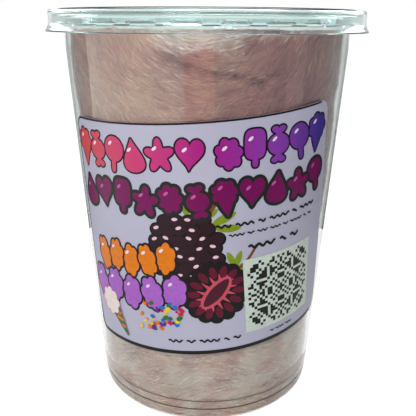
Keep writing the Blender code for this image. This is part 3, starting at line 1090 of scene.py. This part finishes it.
def frame_line(ink_of):
    """The line along the label's edge: thin on top and left, thick below, none on the right."""
    right, top = LABEL_W / 2, LABEL_H / 2
    flat = LABEL_W / 2 - LABEL_CORNER
    turn = np.radians(np.linspace(90, 180, 12))[:, None]
    arc = LABEL_CORNER * np.concatenate([np.cos(turn), np.sin(turn)], axis=1)
    across = np.linspace(flat, -flat, 90)[:, None]
    down = np.linspace(top - LABEL_CORNER, LABEL_CORNER - top, 60)[1:-1, None]
    path = np.concatenate([
        np.concatenate([across, np.full((90, 1), top)], axis=1)[:-1],
        arc + (LABEL_CORNER - right, top - LABEL_CORNER),
        np.concatenate([np.full((58, 1), -right), down], axis=1),
        arc[::-1] * (1, -1) + (LABEL_CORNER - right, LABEL_CORNER - top),
        np.concatenate([-across, np.full((90, 1), -top)], axis=1)[1:]])
    half = 0.32 + 0.42 * eased(-path[:, 1], top - 14, top - 1)
    line = Sheet()
    line.band(path, half, 1, inset=half + 0.03)
    make_sheets(ink_of, (line, "frame_line", "black"))


def heading_rows(ink_of):
    """The heading: a row of graded sweets with fine rims and a row of plum ones with fat rims."""
    sheets = Sheet(), Sheet(), Sheet()
    kinds = ("cornet", "wrapped", "lollipop", "gumdrop", "star", "heart",
             "cloud", "ice_bar", "wrapped", "lollipop", "cornet")
    middles = (-45.2, -36.8, -28.6, -20.4, -11.2, -1.4, 11.0, 19.4, 27.6, 36.2, 44.6)
    for index, (kind, at) in enumerate(zip(kinds, middles)):
        print_sweet(sheets, kind, (at, 31.7 + 0.5 * np.sin(1.9 * index)), 7 * np.sin(2.3 * index),
                    1 + index % 2, 0.6)
    make_sheets(ink_of, (sheets[0], "upper_sweets_rim", "black"), (sheets[1], "upper_sweets", "graded"),
                (sheets[2], "upper_sweets_shine", "shine"))
    sheets = Sheet(), Sheet(), Sheet()
    kinds = ("gumdrop", "heart", "ice_bar", "star", "cloud", "wrapped", "cornet", "heart",
             "gumdrop", "star", "lollipop")
    for index, kind in enumerate(kinds):
        place = (-44.6 + 8.92 * index, 17.0 - 0.6 * np.cos(2.1 * index) - 1.2 * (index == 5))
        print_sweet(sheets, kind, place, 8 * np.sin(1.3 * index + 1), 3 + index % 2, 1.15, 0.94)
    make_sheets(ink_of, (sheets[0], "lower_sweets_rim", "dark_green"), (sheets[1], "lower_sweets", "plum"),
                (sheets[2], "lower_sweets_shine", "plum_shine"))


def whole_berry(ink_of):
    """A whole dark berry: staggered rows of round beads, many with a pale glint."""
    mass, beads, glints, green, stem = (Sheet() for _ in range(5))
    middle = np.array([-5.8, -0.9])
    mass.blob(middle, oval(10.6, 11.6), 1.0, 6)
    for row in range(7):
        y = 10.3 - 3.45 * row
        count = (4, 5, 6, 6, 6, 5, 4)[row]
        for k in range(count):
            x = (k - (count - 1) / 2) * 4.15 + 0.5 * (-1) ** row
            at = middle + (x + 0.3 * np.sin(5 * k + row), y + 0.4 * np.sin(3 * k + 2 * row))
            mass.blob(at, oval(2.95, 2.75, count=28), 1.1 + 0.02 * (k % 2), 2)
            beads.blob(at + (0.0, 0.15), oval(2.25, 2.0, count=28), 1.6 + 0.02 * (k % 2), 2)
            if (2 * k + row) % 3:
                glint = turned(oval(1.0, 0.58, count=20), 25 * np.sin(3 * k + row))
                glints.blob(at + (-0.5, 0.8), glint, 2.0, 2)
    for place, length, wide, lean in (((-3.6, 14.4), 6, 2.8, 75), ((3.6, 11.6), 6, 2.6, 30),
                                      ((8.0, 9.6), 9, 3.0, 24), ((9.2, 6.0), 8.5, 2.8, -4)):
        green.blob(place, turned(leaf(length, wide), lean), 0.4, 3)
    t = np.linspace(0, 1, 12)[:, None]
    stem.band(np.concatenate([1.2 + 4.6 * t, 9.4 + 6.0 * t], axis=1), 0.75, 0.6)
    make_sheets(ink_of, (mass, "berry_mass", "berry_dark"), (beads, "berry_beads", "berry_bead"),
                (glints, "berry_glints", "pink_shine"), (green, "berry_leaves", "leaf"),
                (stem, "berry_stem", "stem"))


def cut_berry(ink_of):
    """A berry cut along its length: beads round a pale star of pith, and a dark heart."""
    mass, beads, pith, core, green, stem = (Sheet() for _ in range(6))
    at, lean = np.array([3.6, -17.6]), -42
    for k in range(15):
        a = TAU * k / 15
        out = turned(np.array([[8.8 * np.cos(a), 9.9 * np.sin(a)]]), lean)[0]
        mass.blob(at + out, turned(oval(2.9, 2.7, count=28), lean), 5.0 + 0.02 * (k % 2), 2)
    mass.blob(at, turned(oval(9.6, 10.6), lean), 5.1, 6)
    t = np.linspace(0, 1, 7)[:, None]
    for k in range(14):
        a = TAU * (k + 0.5) / 14
        spot = turned(np.array([[7.2 * np.cos(a), 8.6 * np.sin(a)]]), lean)[0]
        beads.blob(at + spot, turned(oval(2.3, 1.25, count=24), lean + np.degrees(a)), 5.5, 2)
        arm = np.array([2.6 * np.cos(a + 0.22), 5.6 * np.sin(a + 0.22)])
        tip = np.array([6.3 * np.cos(a + 0.22), 8.0 * np.sin(a + 0.22)])
        start, stop = turned(np.stack([arm, tip]), lean)
        pith.band(at + start * (1 - t) + stop * t, 0.75 * (1 - 0.9 * t[:, 0]), 5.8)
    pith.blob(at, turned(oval(3.3, 7.6, 1.9), lean), 5.9, 8)
    core.blob(at, turned(oval(2.2, 6.7, 1.7), lean), 6.4, 8)
    for place, length, wide, turn in (((9.4, -5.4), 6, 2.2, 110), ((11.8, -5.8), 6.5, 2.2, 68),
                                      ((13.2, -8.6), 5.0, 2.2, 20)):
        green.blob(place, turned(leaf(length, wide), turn), 4.4, 3)
    path = np.concatenate([12.2 + 6.4 * t, -9.0 + 7.4 * t - 0.9 * np.sin(np.pi * t)], axis=1)
    stem.band(path, 0.5, 4.6)
    make_sheets(ink_of, (mass, "cut_berry_mass", "berry_dark"), (beads, "cut_berry_beads", "crimson"),
                (pith, "cut_berry_pith", "coral"), (core, "cut_berry_heart", "maroon"),
                (green, "cut_berry_leaves", "leaf"), (stem, "cut_berry_stem", "stem"))


def puff_rows(ink_of):
    """A row of tall orange puffs above a row of tall violet ones, each over its neighbour."""
    rim, shine, fills = Sheet(), Sheet(), {"orange": Sheet(), "violet": Sheet()}
    rows = (("orange", -40.2, 6.9, -7.0, 3.4, 6.1, 5), ("violet", -44.6, 8.5, -19.6, 4.1, 6.6, 5))
    for tone, first, step, height, wide, tall, count in rows:
        base = 7.0 if tone == "orange" else 9.5
        for k in range(count):
            at = np.array([first + step * k, height + 0.8 * np.sin(2.0 * k) + 0.5 * k])
            shape = fitted(puff(1, 6 + k % 2, 0.11, 1.0, 0.4 * k), wide, tall)
            shape = turned(shape, 9 * np.cos(2.2 * k))
            level = base + 1.0 * (k % 2)
            rim.blob(at, grown(shape, 0.75), level)
            fills[tone].blob(at, shape, level + 0.5)
            shine.blob(at + (-1.3, 2.9), turned(oval(0.95, 0.5, count=20), 40), level + 0.7, 2)
    make_sheets(ink_of, (rim, "puffs_rim", "black"), (fills["orange"], "orange_puffs", "orange"),
                (fills["violet"], "violet_puffs", "violet"), (shine, "puffs_shine", "shine"))


def floss_on_cone(ink_of):
    """A small puff of floss on a striped paper cone, low on the left."""
    rim, floss, paper_cone, stripes = (Sheet() for _ in range(4))
    t = np.linspace(0, 1, 14)
    axis = np.stack([-38.4 + 6.4 * t, -27.0 - 11.6 * t], axis=-1)
    rim.band(axis, 3.0 * (1 - t) + 0.6, 12.0)
    paper_cone.band(axis, 2.7 * (1 - t) + 0.35, 12.3)
    for k in (3, 6, 9):
        wide = 2.3 * (1 - t[k]) + 0.3
        way = np.linspace(-wide, wide, 6)
        stripes.band(np.stack([axis[k, 0] + way, axis[k, 1] - 0.35 * way], axis=-1), 0.5, 12.6)
    shape = puff(4.6, 8, 0.12, 1.1)
    rim.blob((-40.2, -26.4), grown(shape, 0.35), 12.8)
    floss.blob((-40.2, -26.4), shape, 13.2)
    make_sheets(ink_of, (rim, "floss_rim", "plum_shine"), (paper_cone, "floss_cone", "leaf_dark"),
                (stripes, "floss_cone_stripes", "orange"), (floss, "floss_puff", "cream"))


def block_panel(ink_of):
    """A pale mint panel with a woven pattern of blocks, the same on all its quarters."""
    panel, blocks = Sheet(), Sheet()
    side, at = 29.2, np.array([27.9, -21.1])
    t = np.linspace(-side / 2, side / 2, 24)
    x, y = np.meshgrid(t, t[::-1])
    panel.add(np.stack([x, y], axis=-1).reshape(-1, 2) + at, 6.4, grid_quads(24, 24, False))
    count, cell = 25, 1.06
    half = np.arange(count) - count // 2
    i, j = np.meshgrid(half, half, indexing="ij")
    p, q = np.minimum(abs(i), abs(j)), np.maximum(abs(i), abs(j))
    filled = ((p * p + 2 * q + p * q) % 7 < 3) | ((p + q) % 5 == 0)
    middles = np.stack([i[filled], j[filled]], axis=-1)[:, None] * cell
    corners = middles + cell / 2 * np.array([(-1, 1), (1, 1), (1, -1), (-1, -1)])[None]
    blocks.add(corners.reshape(-1, 2) + at, 6.8, np.arange(4 * len(middles)).reshape(-1, 4))
    make_sheets(ink_of, (panel, "mint_panel", "mint"), (blocks, "block_pattern", "black"))


def scribbles(ink_of):
    """Wavy strokes where small print would be: low sine waves, broken into runs."""
    marks = Sheet()
    lines = ((5.2, 45.7, 6.9, 1.0), (9.2, 42.8, 3.3, 0.7), (15.6, 35.8, -2.0, 1.3),
             (-14.6, 11.2, -36.6, 0.95), (22.8, 33.0, -38.2, 0.6))
    for number, (start, stop, height, tall) in enumerate(lines):
        x, k = start, 0
        while x < stop - 2 * tall:
            wide = min(tall * (5.0 + 3.0 * np.sin(2.7 * k + number)), stop - x)
            t = np.linspace(0, wide, max(12, int(wide / tall * 10)))
            path = np.stack([x + t, height + 0.42 * tall * np.sin(TAU * t / (2.3 * tall))], axis=-1)
            marks.band(path, 0.36 * tall, 7.2)
            x += wide + 1.5 * tall
            k += 1
    make_sheets(ink_of, (marks, "scribbles", "black"))


def sprinkles(ink_of):
    """Loose sprinkles in six colours, scattered over the end of the violet row."""
    draw = np.random.default_rng(21)
    colours = ("orange", "leaf_dark", "blue", "crimson_bright", "yellow", "violet_dark")
    sheets = [Sheet() for _ in colours]
    for k in range(44):
        t = draw.random()
        at = (-25.0 + 15.5 * t + draw.normal(0, 0.8), -22.5 - 11.0 * draw.random() + 2.0 * t)
        size = draw.uniform(0.45, 0.85)
        shape = turned(oval(size * draw.uniform(1.0, 1.8), size, 3.4, 16), draw.uniform(0, 180))
        sheets[k % len(colours)].blob(at, shape, 14 + 0.02 * k, 2)
    make_sheets(ink_of, *((sheet, f"sprinkles_{name}", name) for sheet, name in zip(sheets, colours)))


# ---------------------------------------------------------------- the stage


def card(name, points, quads, finish, seen=True):
    """A card of the stage, points in mm. One that isn't seen shows only as a reflection."""
    mesh = bpy.data.meshes.new(name)
    mesh.from_pydata((np.array(points, float) * MM).tolist(), [], np.asarray(quads).tolist())
    mesh.materials.append(finish)
    thing = bpy.data.objects.new(name, mesh)
    bpy.context.scene.collection.objects.link(thing)
    thing.visible_camera = thing.visible_transmission = thing.visible_shadow = seen
    thing.visible_diffuse = seen


def looking(tree, gloss):
    """1 for a ray that sees the stage straight or through plastic, and gloss for a reflected one."""
    path = tree.nodes.new("ShaderNodeLightPath")
    straight, through, reflected = (Value(path.outputs[f"Is {kind} Ray"])
                                    for kind in ("Camera", "Transmission", "Glossy"))
    return straight.math("MAXIMUM", through).math("MAXIMUM", reflected * gloss)


def white_stage(name):
    """White floor: it shows pure white to the eye and in the plastic, and keeps a soft shadow."""
    material, tree, output = new_material(name)
    glow = node(tree, "ShaderNodeEmission", {}, {"Color": (1.0, 1.0, 1.0), "Strength": 1.2})
    matt = node(tree, "ShaderNodeBsdfDiffuse", {}, {"Color": (0.6, 0.6, 0.6)})
    both = node(tree, "ShaderNodeMixShader", {}, {0: looking(tree, 1.0) * 0.85, 1: matt, 2: glow})
    tree.links.new(both.socket, output.inputs["Surface"])
    return material


def matt_card(name, colour):
    """A plain matt card."""
    material, tree, output = new_material(name)
    principled(tree, output, {"Base Color": colour, "Roughness": 0.9, "Specular IOR Level": 0.1})
    return material


def glow_card(name, colour, strength):
    """A bright even card of one colour."""
    material, tree, output = new_material(name)
    glow = node(tree, "ShaderNodeEmission", {}, {"Color": colour, "Strength": strength})
    tree.links.new(glow.socket, output.inputs["Surface"])
    return material


def lamp(name, place, target, size, power):
    """A square white area lamp at a place in metres, facing a target, with no reflection."""
    light = bpy.data.lights.new(name, "AREA")
    light.shape, light.size, light.energy = "SQUARE", size, power
    thing = bpy.data.objects.new(name, light)
    bpy.context.scene.collection.objects.link(thing)
    way = np.array(target, float) - np.array(place, float)
    thing.visible_glossy = False
    thing.location = place
    thing.rotation_euler = (np.arctan2(np.hypot(way[0], way[1]), -way[2]), 0.0,
                            np.arctan2(way[1], way[0]) - np.pi / 2)


def floor_card(name, first, last, close, finish):
    """A card that lies in front of the tub between two azimuths, for the wall's gloss."""
    angles = np.radians(np.linspace(first, last, 12))[None]
    grid = around(np.array([[close], [2800.0]]), angles, 0.2)
    card(name, grid.reshape(-1, 3), grid_quads(2, 12, False), finish, False)


def set_stage():
    """Floor, cards that show only in the gloss, lamps and the surrounding light."""
    reach = 12000.0
    card("floor", [(-reach, -reach, -0.05), (reach, -reach, -0.05), (reach, reach, -0.05),
                   (-reach, reach, -0.05)], [(0, 1, 2, 3)], white_stage("floor_white"))
    dark = matt_card("dark_card", (0.03, 0.03, 0.035))
    edge = glow_card("edge_card", (0.86, 1.0, 0.94), 0.42)
    floor_card("left_edge_card", -178, -150, 60, edge)
    floor_card("right_edge_card", 150, 178, 60, edge)
    floor_card("left_card", -150, -105, 190, dark)
    floor_card("right_card", 80, 150, 190, dark)
    floor_card("bright_card", -105, -17, 190, glow_card("bright_card", (1.0, 0.95, 0.88), 1.75))
    floor_card("front_card", 5, 62, 190, matt_card("grey_card", (0.25, 0.25, 0.25)))
    floor_card("warm_card", -17, 4.5, 190, glow_card("warm_card", (1.0, 0.42, 0.30), 1.8))
    floor_card("dusky_card", 62, 80, 190, matt_card("dusky_card", (0.8, 0.6, 0.55)))
    lamp("key", (-0.34, -1.05, 0.72), (0, 0, 0.08), 0.5, 11.4)
    lamp("top", (0.15, 0.1, 1.1), (0, 0, 0.1), 0.7, 4.4)
    lamp("back_left", (-0.72, 0.86, 0.62), (0, 0, 0.08), 0.6, 6.5)
    lamp("back_right", (0.72, 0.86, 0.62), (0, 0, 0.08), 0.6, 6.5)
    world = bpy.data.worlds.new("surroundings")
    bpy.context.scene.world = world
    world.use_nodes = True
    tree = world.node_tree
    tree.nodes.clear()
    light = node(tree, "ShaderNodeBackground", {}, {
        "Color": (1.0, 1.0, 1.0), "Strength": looking(tree, 0.8) * 0.86 + 0.14})
    out = tree.nodes.new("ShaderNodeOutputWorld")
    tree.links.new(light.socket, out.inputs["Surface"])


def set_camera():
    """The viewpoint: level with the lid, looking 18 degrees down, with a slight roll."""
    lens = bpy.data.cameras.new("camera")
    lens.sensor_width, lens.lens = 36.0, 49.33
    lens.clip_start, lens.clip_end = 0.01, 40.0
    eye = bpy.data.objects.new("camera", lens)
    bpy.context.scene.collection.objects.link(eye)
    down, aside, roll = 0.314, 0.003, 0.006
    ahead = np.array([np.sin(aside) * np.cos(down), np.cos(aside) * np.cos(down), -np.sin(down)])
    right = np.array([np.cos(aside), -np.sin(aside), 0.0])
    up = np.cross(right, ahead)
    turned_right = np.cos(roll) * right + np.sin(roll) * up
    turned_up = np.cos(roll) * up - np.sin(roll) * right
    place = np.eye(4)
    place[:3, :] = np.stack([turned_right, turned_up, -ahead, (0.0, -0.2242, 0.14445)], axis=1)
    eye.matrix_world = Matrix(place.tolist())
    bpy.context.scene.camera = eye


def main():
    """Build every piece, the stage and the camera."""
    bpy.context.scene.view_settings.view_transform = "Standard"
    set_camera()
    set_stage()
    make_tub(clear_plastic("tub_plastic", (0.97, 0.985, 0.98), (0.50, 0.58, 0.54), 170.0, 0.03))
    make_lid(clear_plastic("lid_plastic", (0.91, 0.985, 0.98), (0.32, 0.84, 0.82), 50.0, 0.03))
    # Dark hoops of painted shade at the foot's step and lower line.
    make_foot_shade_lines(moulded("painted_foot_shade", linear(96, 84, 78), 0.35))
    make_lift_mark(moulded("frosted_mark", linear(236, 244, 244), 0.3))
    make_core(sugar_core("sugar_core"))
    make_fibres({tone: sugar_fibre(f"sugar_{tone}", *pair) for tone, pair in TONES.items()})
    make_label(paper("label_paper", linear(177, 176, 196)))
    print_label(label_inks())


def label_inks():
    """The inks of the label, by name."""
    inks = {name: ink(f"ink_{name}", linear(*colour)) for name, colour in {
        "black": (14, 12, 16), "dark_green": (24, 34, 31), "plum": (114, 0, 84),
        "shine": (240, 222, 238), "plum_shine": (190, 90, 160), "berry_dark": (8, 5, 8),
        "berry_bead": (36, 14, 26), "pink_shine": (232, 196, 208), "crimson": (96, 10, 42),
        "coral": (198, 78, 96), "maroon": (72, 14, 38), "leaf": (124, 148, 26),
        "leaf_dark": (36, 112, 52), "stem": (122, 66, 34), "orange": (224, 122, 10),
        "violet": (168, 98, 196), "violet_dark": (98, 40, 140), "cream": (236, 226, 218),
        "mint": (206, 218, 206), "blue": (30, 110, 200), "crimson_bright": (196, 28, 60),
        "yellow": (238, 200, 40)}.items()}
    inks["graded"] = graded_ink("ink_graded", [
        (0.05, linear(208, 72, 76)), (0.95, linear(62, 44, 140)), (0.35, linear(198, 52, 118)),
        (0.55, linear(156, 16, 130)), (0.75, linear(134, 56, 166))])
    return inks


main()
